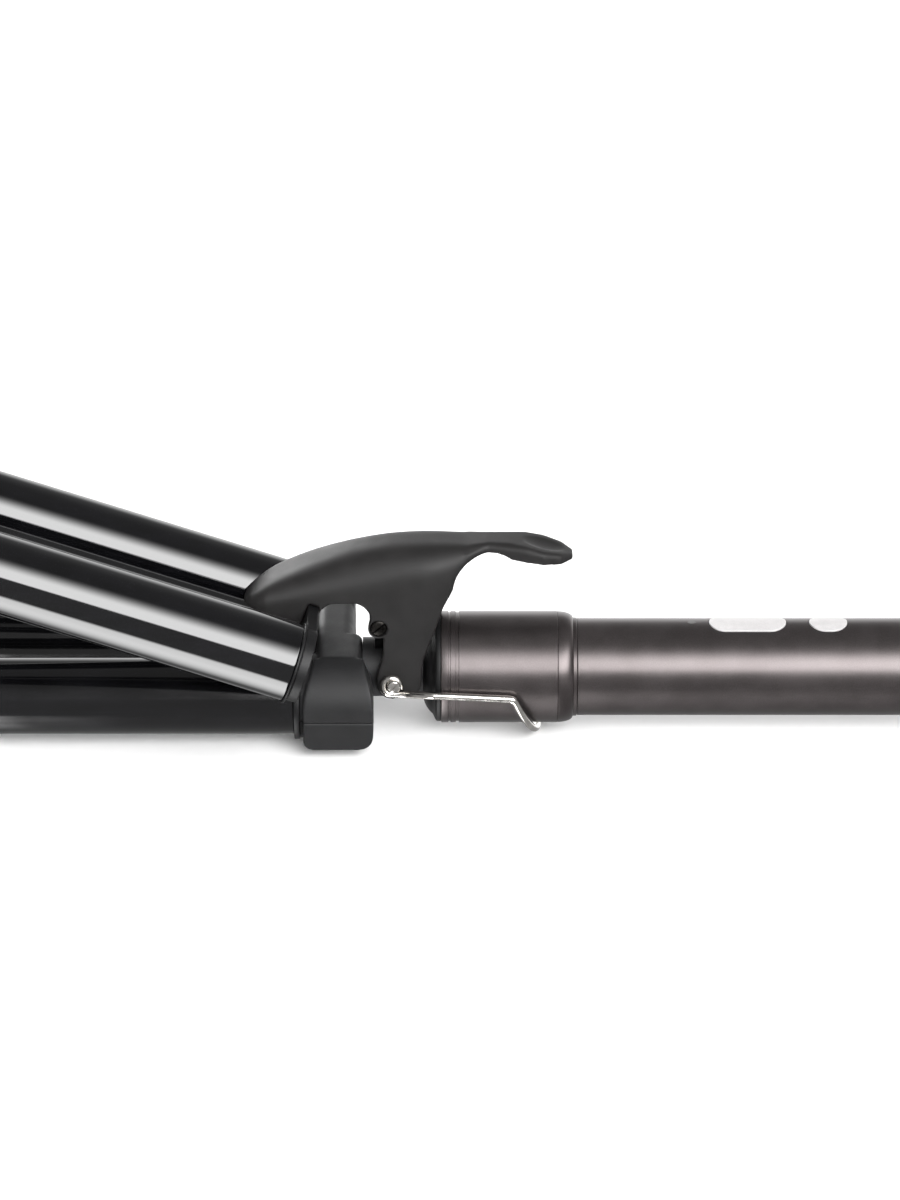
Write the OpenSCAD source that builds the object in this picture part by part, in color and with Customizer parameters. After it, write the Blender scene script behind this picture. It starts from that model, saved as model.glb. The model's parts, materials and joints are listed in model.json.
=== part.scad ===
// Hair waver with four heated barrels. Two barrels are fixed to the handle and two sit on a
// hinged jaw that a thumb lever opens. The four interleave, side by side, when the jaw shuts.
// Frame: +X runs along the handle towards the cord, +Z is up, and the barrels point along -X.
// The origin is the mouth of the cord inlet, on the handle's own axis.

/* [Handle] */
// Outside diameter of the grip
grip_d = 27.9; // [27:0.1:29]
// Length of the grip between the joint ring and the rear cap
grip_l = 132; // [120:1:150]
// Wall thickness of the grip
grip_wall = 2; // [1.6:0.1:2.2]
// Outside diameter of the ferrule in front of the grip
ferrule_d = 32; // [31.6:0.1:32.6]
// Length of the ferrule
ferrule_l = 33.4; // [31:0.2:36]
// Length of the shoulder ring between the ferrule and the grip
ring_l = 5.7; // [4.5:0.1:7]
// Length of the rear cap
cap_l = 6; // [5:0.5:8]

/* [Buttons] */
// Width of both buttons across the grip
button_w = 9.3; // [8:0.1:10]
// Length of the power button
power_l = 22.1; // [18:0.1:24]
// Length of the temperature button
temp_l = 10.9; // [10.2:0.1:12]
// How far a button travels when pressed
button_travel = 0.8; // [0.4:0.1:0.8]

/* [Barrels] */
// Outside diameter of each barrel
barrel_d = 22; // [20:0.2:22.4]
// Wall thickness of each barrel
barrel_wall = 1.5; // [1.2:0.1:2]
// Length of each barrel from its collar to its tip cap
barrel_l = 132; // [100:1:150]
// Sideways distance from a barrel to the next one
barrel_pitch = 21; // [20.8:0.1:22]
// Height of the shut upper barrels above the handle's axis
upper_rise = 6.1; // [6:0.1:7]
// Depth of the lower barrels below the handle's axis
lower_drop = 4.3; // [4.2:0.1:5]

/* [Hinge] */
// Angle between the jaws as stored, which is fully open
open_angle = 18.6; // [14:0.2:18.6]
// Width across the two arms of the lever
lever_w = 24; // [23.8:0.1:24.4]
// Radius of the neck that carries the hinge
neck_r = 8.5; // [8:0.1:8.6]
// Radius of the shoulder that each arm turns on
shoulder_r = 2; // [1.8:0.1:2.2]
// Radial clearance of the running fits
running_gap = 0.05; // [0.03:0.01:0.08]

/* [Stand] */
// Diameter of the stand's wire
wire_d = 2.15; // [1.8:0.05:2.2]
// Distance from the pivot to the start of the crossbar
stand_reach = 34.5; // [32:0.5:36]

/* [Cord inlet] */
// Diameter of the hole that the cord comes in through
cord_hole_d = 7.2; // [6:0.2:7.6]

/* [Hidden] */
$fn = 64;
hull_fn = 32;

// Places along X, measured from the hinge's axis
collar_x = 8.7;
ferrule_x0 = 13.8;
ferrule_x1 = ferrule_x0 + ferrule_l;
grip_x0 = ferrule_x1 + ring_l;
grip_x1 = grip_x0 + grip_l;
cap_x1 = grip_x1 + cap_l;
gland_l = 9.5;
gland_gap = 0.3;
pivot_x = -(cap_x1 + gland_gap + gland_l);

// Radii and clearances
grip_r = grip_d / 2;
bore_r = grip_r - grip_wall;
ferrule_r = ferrule_d / 2;
ferrule_wall = 2.8;
dome_at = [7.73, 16.1];
dome_r = 7.44;
push_gap = 0.05;
over = 1;

// Barrel axes: sideways place and height, near side first
barrel_r = barrel_d / 2;
upper_near = [-1.5 * barrel_pitch, upper_rise];
upper_far = [0.5 * barrel_pitch, upper_rise];
lower_near = [-0.5 * barrel_pitch, -lower_drop];
lower_far = [1.5 * barrel_pitch, -lower_drop];
upper_end_x = -31.2;
lower_end_x = -28;
upper_flange_l = 0.8;
lower_flange_r = barrel_r + 1.4;
upper_flange_r = barrel_r + 0.6;
spigot_r = barrel_r - barrel_wall - push_gap;
spigot_l = 8;
stub_r = 8;
stub_l = 4.4;
tip_l = 6;
heater_l = 96;
heater_gap = 12;

// Fixed bracket
bracket_base = -15.5;
bracket_part = -7;
bracket_top = 8.7;
bracket_x0 = -25.3;
bar_x0 = -21.9;
bar_x1 = -8.7;
bar_x1_far = -11.5;
bracket_near = -23.5;
block_back = -12.6;
socket_x0 = -26.3;
socket_r = 12;
tongue = 10;

// Buttons
power_x = 101.6;
temp_x = 124.7;
lens_x = 85.6;
button_proud = 0.3;
button_gap = 0.2;
board_z = -1;
board_t = 1.6;
switch_top = 4;

// Lever
arm_t = 3;
arm_in = lever_w / 2 - arm_t;
screw_at = [-3.9, 17.2];
boss_r = 4.7;
wire_r = wire_d / 2;
eye_r = 2.4;
eye_y = lever_w / 2 + 1.4;

// Points on an arc, for outlines
function arc(cx, cy, r, a0, a1, n) =
    [for (i = [0:n]) [cx + r * cos(a0 + (a1 - a0) * i / n), cy + r * sin(a0 + (a1 - a0) * i / n)]];

// Children drawn from the hinge's axis
module from_pivot() translate([pivot_x, 0, 0]) children();

// Children drawn with the jaw shut, then swung open
module on_jaw() from_pivot() rotate([0, open_angle, 0]) children();

// Cylinder along X between two places, about an axis at [y, z]
module rod_x(x0, x1, r, at = [0, 0])
    translate([x0, at[0], at[1]]) rotate([0, 90, 0]) cylinder(h = x1 - x0, r = r);

// Cylinder along Y between two places, about an axis at [x, z]
module rod_y(y0, y1, r, at = [0, 0])
    translate([at[0], y1, at[1]]) rotate([90, 0, 0]) cylinder(h = y1 - y0, r = r);

// Outline in X and Z, given thickness along Y
module plate_y(y0, y1)
    translate([0, y1, 0]) rotate([90, 0, 0]) linear_extrude(y1 - y0) children();

// Outline in Y and Z, given thickness along X
module plate_x(x0, x1)
    translate([x0, 0, 0]) rotate([90, 0, 90]) linear_extrude(x1 - x0) children();

// Outline of [radius, x] points turned about the X axis
module turned(points) rotate([0, 90, 0]) rotate_extrude($fn = 96) polygon(points);

// Flat shape with round ends
module pill(l, w) {
    square([l - w, w], center = true);
    for (s = [-1, 1])
        translate([s * (l - w) / 2, 0]) circle(d = w);
}

// ---- Handle ----

module grip_shell() color([0.36, 0.34, 0.34]) from_pivot() difference() {
    rod_x(grip_x0, grip_x1, grip_r);
    rod_x(grip_x0 - over, grip_x1 + over, bore_r);
    button_window(power_x, power_l);
    button_window(temp_x, temp_l);
    translate([lens_x, 0, 0]) cylinder(h = grip_r + over, r = 1.15);
}

module button_window(x, l)
    translate([x, 0, 0]) linear_extrude(grip_r + over)
        pill(l + 2 * button_gap, button_w + 2 * button_gap);

module joint_ring() color([0.3, 0.28, 0.28]) from_pivot() turned(concat(
    [[bore_r - 2, ferrule_x1 - 5], [ferrule_r - ferrule_wall - push_gap, ferrule_x1 - 5],
     [ferrule_r - ferrule_wall - push_gap, ferrule_x1]],
    [for (i = [0:8]) [grip_r + 0.2 + (ferrule_r - grip_r - 0.25) * cos(i * 90 / 8),
                      ferrule_x1 + 4.4 * sin(i * 90 / 8)]],
    [[grip_r + 0.2, grip_x0 - 0.3], [grip_r - 0.4, grip_x0],
     [bore_r - push_gap, grip_x0], [bore_r - push_gap, grip_x0 + 5], [bore_r - 2, grip_x0 + 5]]));

// Sleeve with two grooves behind its front lip, each given as its place and width
module ferrule() color([0.36, 0.34, 0.34]) from_pivot() difference() {
    rod_x(ferrule_x0, ferrule_x1, ferrule_r);
    rod_x(ferrule_x0 - over, ferrule_x1 + over, ferrule_r - ferrule_wall);
    for (groove = [[2.2, 0.4], [4.3, 0.7]])
        translate([ferrule_x0 + groove[0], 0, 0]) turned([[ferrule_r - 0.3, 0],
            [ferrule_r + over, 0], [ferrule_r + over, groove[1]], [ferrule_r - 0.3, groove[1]]]);
}

// Domed collar between the neck and the ferrule
module neck_collar() color([0.1, 0.1, 0.1]) from_pivot() turned(concat(
    [[neck_r + push_gap, collar_x]],
    arc(dome_at[0], dome_at[1], dome_r, -83.5, -39, 6),
    [[ferrule_r - 0.9, ferrule_x0 - 1.7], [ferrule_r - 0.3, ferrule_x0 - 1.1],
     [ferrule_r - 0.3, ferrule_x0], [ferrule_r - ferrule_wall - push_gap, ferrule_x0],
     [ferrule_r - ferrule_wall - push_gap, ferrule_x0 + 5], [neck_r + push_gap, ferrule_x0 + 5]]));

// Spine of the hinge: a hollow neck clamped in the ferrule, with a tongue for the bracket
module hinge_neck() color([0.12, 0.12, 0.12]) from_pivot() difference() {
    union() {
        rod_x(bar_x1 + 0.1, 40, neck_r);
        rod_x(34, 40, ferrule_r - ferrule_wall - push_gap);
        translate([-20.5, -tongue / 2, -tongue / 2]) cube([tongue + 6, tongue, tongue]);
    }
    rod_x(7, 40 + over, 5);
    rod_y(-neck_r - over, neck_r + over, 2.4 + push_gap);
    translate([-5.2, -4, -5.2]) cube([10.4, 8, 20]);
}

// Threaded sleeve across the neck that both pivot screws run into
module pivot_sleeve() color([0.6, 0.6, 0.6]) from_pivot() difference() {
    rod_y(-neck_r + 0.2, neck_r - 0.2, 2.4);
    rod_y(-neck_r, neck_r, 1.3);
}

// Shouldered screws: thread, shoulder for the arm, neck for the wire's eye, slotted head
module pivot_screws() color([0.85, 0.85, 0.83]) from_pivot()
    for (s = [0, 1]) mirror([0, s, 0]) difference() {
        union() {
            rod_y(-neck_r + 0.1, -2, 1.28);
            rod_y(-lever_w / 2 - 0.1, -neck_r + 0.1, shoulder_r);
            rod_y(-eye_y - wire_r - 0.1, -lever_w / 2 - 0.1, eye_r - wire_r - 0.07);
            rod_y(-eye_y - wire_r - 1.1, -eye_y - wire_r - 0.1, 1.9);
        }
        translate([-3, -eye_y - wire_r - 1.2, -0.25]) cube([6, 0.6, 0.5]);
    }

// ---- Fixed bracket across the front of the neck ----

// Front view of the near block: wide at the base, drawn in like a bell towards the top
module bell() polygon(concat(
    arc(bracket_x0 + 2.6, bracket_base + 2.6, 2.6, 180, 270, 5),
    arc(-9.4, bracket_base + 4, 4, 270, 360, 6),
    [[-5.4, -2.3], [-5.6, 0], [-6.3, 3.3], [-7.3, 5.6], [bar_x1, bracket_top + over],
     [bar_x0, bracket_top + over], [-23.3, 5.6], [-24.3, 3.3], [-25.1, 0],
     [bracket_x0, -2.3]]));

// Side view of a block: flat sides and base, and a round top about the barrel's axis
module block_side(y0, y1, at) {
    r = bracket_top - at[1];
    translate([y0, bracket_base]) square([y1 - y0, at[1] - bracket_base]);
    intersection() {
        translate(at) circle(r = r);
        translate([y0, at[1] - 0.01]) square([y1 - y0, r + over]);
    }
}

// Cross section of the bar, with its top edges rounded
module bar_section(x1) polygon(concat(
    [[bar_x0, -neck_r], [x1, -neck_r]],
    arc(x1 - 2.5, bracket_top - 2.5, 2.5, 0, 90, 5),
    arc(bar_x0 + 2.5, bracket_top - 2.5, 2.5, 90, 180, 5)));

module bracket_body() difference() {
    union() {
        intersection() {
            plate_y(bracket_near, block_back) bell();
            plate_x(bracket_x0 - over, 0) block_side(bracket_near, block_back, lower_near);
        }
        plate_y(block_back, 4) bar_section(bar_x1);
        plate_y(4, lower_far[0]) bar_section(bar_x1_far);
        plate_x(bracket_x0, bar_x1_far)
            block_side(lower_far[0] - 13, lower_far[0] + 13, lower_far);
        for (at = [lower_near, lower_far])
            rod_x(socket_x0, bar_x0 + 4, socket_r, at);
    }
    for (at = [lower_near, lower_far])
        rod_x(socket_x0 - over, socket_x0 + stub_l + 0.1, stub_r + push_gap, at);
    translate([-20.6, -tongue / 2 - 0.1, -tongue / 2 - 0.1])
        cube([20, tongue + 0.2, tongue + 0.2]);
    for (at = bracket_screw_places())
        translate([at[0], at[1], bracket_base]) cylinder(h = 15, r = 1.25);
}

function bracket_screw_places() = [[-15, -18], [-16, 31.5]];

module bracket_upper() color([0.16, 0.16, 0.16]) from_pivot() intersection() {
    bracket_body();
    translate([-40, -60, bracket_part]) cube([60, 120, 40]);
}

module bracket_lower() color([0.16, 0.16, 0.16]) from_pivot() difference() {
    intersection() {
        bracket_body();
        translate([-40, -60, bracket_part - 40]) cube([60, 120, 40]);
    }
    for (at = bracket_screw_places())
        translate([at[0], at[1], bracket_base - over]) cylinder(h = 3, r = 2.4);
}

module bracket_screws() color([0.6, 0.6, 0.6]) from_pivot()
    for (at = bracket_screw_places()) translate([at[0], at[1], bracket_base + 0.4]) difference() {
        union() {
            cylinder(h = 1.5, r = 2.3);
            cylinder(h = 13, r = 1.2);
        }
        translate([0, 0, -0.1]) cylinder(h = 1, r = 0.9, $fn = 6);
    }

// ---- Barrels, drawn along X about an axis at [y, z] ----

// Collar at the barrel's root: flange, spigot inside the barrel and stub behind
module collar(end_x, at, flange_r, flange, stub) difference() {
    union() {
        rod_x(end_x, end_x + flange, flange_r, at);
        rod_x(end_x - spigot_l, end_x + 0.1, spigot_r, at);
        rod_x(end_x + flange - 0.1, end_x + flange + stub, stub_r, at);
    }
    rod_x(end_x - spigot_l - over, end_x + flange + stub + over, 4, at);
}

module barrel(end_x, at) difference() {
    rod_x(end_x - barrel_l, end_x, barrel_r, at);
    rod_x(end_x - barrel_l - over, end_x + over, barrel_r - barrel_wall, at);
}

// Round heater: an aluminium extrusion with two cores, and a ceramic strip in its slot
module heater(end_x, at) {
    far_x = end_x - heater_gap - heater_l;
    difference() {
        rod_x(far_x, end_x - heater_gap, barrel_r - barrel_wall - 0.1, at);
        translate([far_x - over, at[0] - 6.5, at[1] - 1.5])
            cube([heater_l + 2 * over, 13, 3]);
        for (s = [-1, 1])
            rod_x(far_x - over, end_x, 3.2, at + [0, s * 5.3]);
    }
    translate([far_x + 2, at[0] - 6, at[1] - 1.3]) cube([heater_l - 4, 12, 2.6]);
}

// Domed end cap with a spigot inside the barrel
module tip(end_x, at) {
    tip_x = end_x - barrel_l;
    translate([tip_x, at[0], at[1]]) mirror([1, 0, 0]) turned(concat(
        [[0, -6], [spigot_r, -6], [spigot_r, 0]],
        arc(barrel_r - 3.5, tip_l - 3.5, 3.5, 0, 90, 8),
        [[0, tip_l]]));
}

lower_flange_l = socket_x0 - lower_end_x;

module lower_collar_near() color([0.1, 0.1, 0.1]) from_pivot()
    collar(lower_end_x, lower_near, lower_flange_r, lower_flange_l, stub_l);
module lower_collar_far() color([0.1, 0.1, 0.1]) from_pivot()
    collar(lower_end_x, lower_far, lower_flange_r, lower_flange_l, stub_l);
module lower_barrel_near() color([0.05, 0.05, 0.06]) from_pivot() barrel(lower_end_x, lower_near);
module lower_barrel_far() color([0.05, 0.05, 0.06]) from_pivot() barrel(lower_end_x, lower_far);
module lower_heater_near() color([0.75, 0.75, 0.75]) from_pivot() heater(lower_end_x, lower_near);
module lower_heater_far() color([0.75, 0.75, 0.75]) from_pivot() heater(lower_end_x, lower_far);
module lower_tip_near() color([0.1, 0.1, 0.1]) from_pivot() tip(lower_end_x, lower_near);
module lower_tip_far() color([0.1, 0.1, 0.1]) from_pivot() tip(lower_end_x, lower_far);

module upper_collar_near() color([0.2, 0.2, 0.2]) on_jaw()
    collar(upper_end_x, upper_near, upper_flange_r, upper_flange_l, jaw_plate_t - 0.4);
module upper_collar_far() color([0.2, 0.2, 0.2]) on_jaw()
    collar(upper_end_x, upper_far, upper_flange_r, upper_flange_l, jaw_plate_t - 0.4);
module upper_barrel_near() color([0.05, 0.05, 0.06]) on_jaw() barrel(upper_end_x, upper_near);
module upper_barrel_far() color([0.05, 0.05, 0.06]) on_jaw() barrel(upper_end_x, upper_far);
module upper_heater_near() color([0.75, 0.75, 0.75]) on_jaw() heater(upper_end_x, upper_near);
module upper_heater_far() color([0.75, 0.75, 0.75]) on_jaw() heater(upper_end_x, upper_far);
module upper_tip_near() color([0.1, 0.1, 0.1]) on_jaw() tip(upper_end_x, upper_near);
module upper_tip_far() color([0.1, 0.1, 0.1]) on_jaw() tip(upper_end_x, upper_far);

// ---- Electrics inside the grip ----

module circuit_board() color([0.1, 0.4, 0.2]) from_pivot()
    translate([82, -8, board_z]) cube([54, 16, board_t]);

module board_carrier() color([0.8, 0.8, 0.78]) from_pivot() intersection() {
    rod_x(80, 138, bore_r - 0.1);
    difference() {
        translate([80, -15, -12]) cube([58, 30, 12 + board_z]);
        translate([82, -6, -8]) cube([54, 12, 8]);
    }
}

// One push switch under each button
module push_switches() color([0.2, 0.2, 0.22]) from_pivot()
    for (x = [power_x, temp_x]) translate([x, 0, board_z + board_t]) {
        translate([-3, -3, 0]) cube([6, 6, 2.4]);
        cylinder(h = switch_top - board_z - board_t, r = 1.7);
    }

module indicator_lens() color([0.9, 0.9, 0.88, 0.6]) from_pivot() translate([lens_x, 0, 0])
    intersection() {
        translate([0, 0, board_z + board_t]) cylinder(h = 20, r = 1.1);
        rod_x(-2, 2, grip_r + 0.05);
    }

// Insulated leads from the board to the hinge
module lead_wires() color([0.7, 0.15, 0.1]) from_pivot()
    for (y = [-1.3, 1.3], z = [-1.3, 1.3])
        rod_x(8, 79.8, 0.7, [y, z]);

module rear_cap() color([0.1, 0.1, 0.1]) from_pivot() turned(concat(
    [[6 + running_gap, grip_x1], [9, grip_x1], [9, grip_x1 - 6], [bore_r - push_gap, grip_x1 - 6],
     [bore_r - push_gap, grip_x1], [grip_r, grip_x1]],
    arc(grip_r - 2.2, cap_x1 - 2.2, 2.2, 0, 90, 6),
    [[6 + running_gap, cap_x1]]));

// Washer that keeps the swivel in the rear cap
module gland_washer() color([0.6, 0.6, 0.6]) from_pivot() difference() {
    rod_x(grip_x1 - 4.4, grip_x1 - 3, 9 - push_gap);
    rod_x(grip_x1 - 5, grip_x1 - 2, 5);
}

// Swivel for the cord: inner flange, journal in the cap and a tapered nose
module swivel_gland() color([0.1, 0.1, 0.1]) from_pivot() turned([
    [cord_hole_d / 2, grip_x1 - 2.7], [8.4, grip_x1 - 2.7], [8.4, grip_x1 - 0.3],
    [6, grip_x1 - 0.3], [6, cap_x1 + gland_gap], [7.2, cap_x1 + gland_gap],
    [7.2, cap_x1 + gland_gap + 2], [5, cap_x1 + gland_gap + gland_l],
    [cord_hole_d / 2, cap_x1 + gland_gap + gland_l]]);

module button(x, l) translate([x, 0, 0]) {
    intersection() {
        translate([0, 0, 9]) linear_extrude(8) pill(l, button_w);
        rod_x(-l, l, grip_r + button_proud);
    }
    translate([0, 0, 8]) linear_extrude(1.4) pill(l + 1.6, button_w + 1.6);
    translate([0, 0, switch_top + 0.9]) cylinder(h = 9 - switch_top - 0.9, r = 1.6);
}

module power_button() color([0.92, 0.92, 0.92]) from_pivot() button(power_x, power_l);
module temperature_button() color([0.92, 0.92, 0.92]) from_pivot() button(temp_x, temp_l);

// ---- Stand: one bent wire with an eye at each end ----

// Straight piece of wire between two points, with a ball at its far end
module wire_run(a, b) {
    d = b - a;
    l = norm(d);
    translate(a) rotate([0, acos(d[2] / l), atan2(d[1], d[0])]) cylinder(h = l, r = wire_r, $fn = 24);
    translate(b) sphere(r = wire_r + 0.04, $fn = 24);
}

stand_y = ferrule_r + 1.4;
stand_drop = -2.3;
stand_tilt = 25;
hoop_z = -1.7;
hoop_start = asin((hoop_z - stand_drop) / (stand_y * cos(stand_tilt)));
leg_y = stand_y * cos(hoop_start);
hoop_x = stand_reach + (stand_drop - hoop_z) * tan(stand_tilt);

module stand_wire() color([0.85, 0.85, 0.85]) from_pivot() {
    for (s = [0, 1]) mirror([0, s, 0]) {
        translate([0, -eye_y, 0]) rotate([90, 0, 0]) rotate_extrude($fn = 48)
            translate([eye_r, 0]) circle(r = wire_r, $fn = 24);
        wire_run([0.4, -eye_y, -eye_r + 0.15], [3.4, -eye_y - 0.1, -eye_r - 0.1]);
        wire_run([3.4, -eye_y - 0.1, -eye_r - 0.1], [10.5, -leg_y, -1.1]);
        wire_run([10.5, -leg_y, -1.1], [stand_reach, -leg_y, stand_drop]);
    }
    translate([hoop_x, 0, hoop_z]) rotate([0, -stand_tilt, 0]) rotate([0, 90, 0])
        rotate([0, 0, hoop_start - 90]) rotate_extrude(angle = 180 - 2 * hoop_start, $fn = 96)
            translate([stand_y, 0]) circle(r = wire_r, $fn = 24);
}

// ---- Torsion spring round the pivot sleeve, with a leg up to the jaw ----

spring_r = 3.5;
spring_wire_r = 0.5;
spring_turns = 5;
spring_step = 15;
spring_sides = 8;

// Centre line of the coil, starting at the back of the slot
function spring_point(a) = [spring_r * cos(a), -3 + 6 * a / (360 * spring_turns), spring_r * sin(a)];

function spring_ring(a) = [for (i = [0:spring_sides - 1])
    let (t = 360 * i / spring_sides, r = spring_r + spring_wire_r * cos(t))
    [r * cos(a), spring_point(a)[1] + spring_wire_r * sin(t), r * sin(a)]];

module spring_coil() {
    n = 360 * spring_turns / spring_step;
    k = spring_sides;
    points = [for (j = [0:n]) each spring_ring(j * spring_step)];
    sides = [for (j = [0:n - 1], i = [0:k - 1])
        [j * k + i, (j + 1) * k + i, (j + 1) * k + (i + 1) % k, j * k + (i + 1) % k]];
    ends = [[for (i = [0:k - 1]) i], [for (i = [k - 1:-1:0]) n * k + i]];
    polyhedron(points, concat(sides, ends));
}

module hinge_spring() color([0.7, 0.7, 0.7]) from_pivot() {
    spring_coil();
    translate([spring_r, 3, 0]) cylinder(h = 22, r = spring_wire_r, $fn = 24);
    translate([spring_r, -3, -4.6]) cylinder(h = 4.6, r = spring_wire_r, $fn = 24);
}

// ---- Hinged jaw ----

jaw_plate_x0 = upper_end_x + upper_flange_l;
jaw_plate_x1 = -27.2;
jaw_plate_t = jaw_plate_x1 - jaw_plate_x0;
jaw_disc_r = barrel_r - 0.5;
jaw_plate_top = upper_rise + jaw_disc_r - 0.5;
scallop_r = barrel_r + 2;

// End view of the jaw's plate: a disc behind each upper barrel and a bridge between them,
// cut away round the lower barrels
module jaw_plate() difference() {
    union() {
        translate(upper_near) circle(r = jaw_disc_r);
        translate(upper_far) circle(r = jaw_disc_r);
        translate([upper_near[0], upper_rise]) square([2 * barrel_pitch, jaw_plate_top - upper_rise]);
    }
    translate(lower_near) circle(r = scallop_r);
    translate(lower_far) circle(r = scallop_r);
}

// Plate and two ears that carry the upper barrels and screw to the lever's arms
module jaw_frame() color([0.13, 0.13, 0.13]) {
    on_jaw() difference() {
        plate_x(jaw_plate_x0, jaw_plate_x1) jaw_plate();
        for (at = [upper_near, upper_far])
            rod_x(jaw_plate_x0 - over, jaw_plate_x1 - 0.3, stub_r + push_gap, at);
        for (at = [upper_near, upper_far])
            rod_x(jaw_plate_x0, jaw_plate_x1 + over, 4, at);
    }
    from_pivot() difference() {
        for (s = [0, 1]) mirror([0, s, 0]) plate_y(arm_in - 2.8, arm_in - 0.1) ear();
        rod_y(-arm_in, arm_in, 1, screw_at);
    }
}

// Side view of an ear, as stored: down to the screw, and along under the roof to the plate
module ear() polygon(concat(
    [[-23.7, 23.5], [-23, 25.4], [-22.3, 27], [-12, 29.4], [-2, 30.8], [-1.3, screw_at[1]]],
    arc(screw_at[0], screw_at[1], 2.6, 0, -180, 8),
    [[-6.5, 24.8], [-8.5, 25.6], [-18, 25], [-19.8, 24.2], [-21.4, 22.7]]));

// Side view of the lever, as stored: arms, arch over the bracket, and nose
module lever_side() polygon(concat(
    [[-46, 24], [-46, 50], [60, 50], [60, 37.3], [22.4, 37.3], [19.3, 31.9], [16.6, 27],
     [14.6, 23.4], [13.4, 20], [12.4, 16.8], [10.6, 12.2], [9.1, 8.2], [8.4, 4.3], [8.2, -0.6]],
    arc(5.6, -0.6, 2.6, 0, -60, 3),
    arc(0, 0, boss_r, -75, -178, 8),
    [[-4.2, 3.6], [-3, 7.4], [-2.6, 10.4], [-2.6, 13]],
    arc(screw_at[0], screw_at[1], 3, -60, -200, 8),
    arc(-11.5, 19.8, 5.4, 10, 90, 5),
    arc(-15.8, 19.7, 5.5, 90, 170, 5),
    [[-22, 17.6], [-41.6, 24.1]]));

// One cross section of the roof, with rounded top edges
module rib(x, y, z, half, round_r, base) translate([x, y, 0]) {
    for (s = [-1, 1])
        translate([0, s * (half - round_r), z - round_r]) rotate([0, 90, 0])
            cylinder(h = 0.1, r = round_r, $fn = hull_fn);
    translate([0, -half, base]) cube([0.1, 2 * half, 1]);
}

// Roof sections: place along X, sideways place, height, half width and edge radius
function roof_ribs() = [
    [-42.2, -6, 24.3, 3.4, 1.5], [-40, -5, 26.8, 7, 3], [-36, -3.5, 29.2, 9.8, 4.5],
    [-30, -1.5, 31.7, 11.4, 6.5], [-22, 0, 34.6, 12, 8], [-12, 0, 37.8, 12, 9],
    [-1, 0, 39.85, 12, 9], [9, 0, 40.3, 12, 8.5], [16, 0, 40.2, 10.6, 7], [20, 0, 40.1, 8.9, 5],
    [24, 0, 40, 6.6, 3]];

// Smooth curve from q to r, with p before them and s after, at t from 0 to 1
function between(p, q, r, s, t) = 0.5 * (2 * q + (r - p) * t
    + (2 * p - 5 * q + 4 * r - s) * t * t + (3 * q - p - 3 * r + s) * t * t * t);

// The roof's sections with one more on the curve between each two
function roof_curve() = let (k = roof_ribs(), n = len(k) - 1) concat(
    [for (i = [0:n - 1], t = [0, 0.5])
        between(k[max(0, i - 1)], k[i], k[i + 1], k[min(n, i + 2)], t)],
    [k[n]]);

module roof(inset) hull()
    for (r = roof_curve())
        rib(r[0] + (r[0] < -42 ? inset : 0), r[1], r[2] - inset * 0.9,
            max(1, r[3] * lever_w / 24 - inset), max(0.8, r[4] - inset), -8);

// Narrow neck behind the roof, and the thumb pad that it ends in
module thumb_pad() {
    hull() {
        rib(21, 0, 40.1, 8.3, 4, 36.9);
        rib(27, 0, 40.5, 5.3, 1.8, 37.2);
    }
    hull() {
        rib(26.9, 0, 40.5, 5.3, 1.8, 37.2);
        rib(33, 0, 40.4, 5.6, 1.8, 36.1);
        rib(38, 0, 39.8, 7, 1.8, 35.3);
    }
    hull() {
        rib(37.9, 0, 39.8, 7, 1.8, 35.3);
        rib(43, 0, 38.5, 7.6, 1.6, 34.8);
        rib(48, 0, 37.2, 5.8, 1.4, 34.3);
        rib(51.2, 0, 36, 2.2, 0.8, 34.8);
    }
}

module lever_shell() color([0.15, 0.15, 0.15]) difference() {
    from_pivot() difference() {
        union() {
            intersection() {
                difference() {
                    roof(0);
                    difference() {
                        roof(arm_t);
                        translate([14, -20, -20]) cube([20, 40, 80]);
                    }
                }
                plate_y(-30, 30) lever_side();
            }
            thumb_pad();
        }
        rod_y(-30, 30, shoulder_r + running_gap);
        rod_y(-30, 30, 1.25, screw_at);
        for (s = [0, 1]) mirror([0, s, 0]) rod_y(-30, -lever_w / 2 + 1.2, 2.5, screw_at);
    }
    on_jaw() {
        for (at = [upper_near, upper_far])
            rod_x(upper_end_x - 40, jaw_plate_x1 + 0.2, barrel_r + 0.8, at);
        translate([jaw_plate_x0 - 0.1, -60, -20]) cube([jaw_plate_t + 0.2, 120, jaw_plate_top + 20.3]);
    }
}

// Screws through the lever's arms into the jaw frame's ears
module lever_screws() color([0.7, 0.7, 0.7]) from_pivot()
    for (s = [0, 1]) mirror([0, s, 0]) difference() {
        union() {
            rod_y(-lever_w / 2 + 0.2, -lever_w / 2 + 1.1, 2.4, screw_at);
            rod_y(-lever_w / 2 + 0.2, -arm_in + 0.1, 1.2, screw_at);
            rod_y(-arm_in, -arm_in + 2.6, 0.95, screw_at);
        }
        translate([screw_at[0] - 3, -lever_w / 2 + 0.1, screw_at[1] - 0.25]) cube([6, 0.6, 0.5]);
    }

grip_shell();
joint_ring();
ferrule();
neck_collar();
hinge_neck();
pivot_sleeve();
pivot_screws();
bracket_upper();
bracket_lower();
bracket_screws();
lower_collar_near();
lower_collar_far();
lower_barrel_near();
lower_barrel_far();
lower_heater_near();
lower_heater_far();
lower_tip_near();
lower_tip_far();
circuit_board();
board_carrier();
push_switches();
indicator_lens();
lead_wires();
rear_cap();
gland_washer();
swivel_gland();
power_button();
temperature_button();
stand_wire();
hinge_spring();
lever_shell();
lever_screws();
jaw_frame();
upper_collar_near();
upper_collar_far();
upper_barrel_near();
upper_barrel_far();
upper_heater_near();
upper_heater_far();
upper_tip_near();
upper_tip_far();
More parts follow.
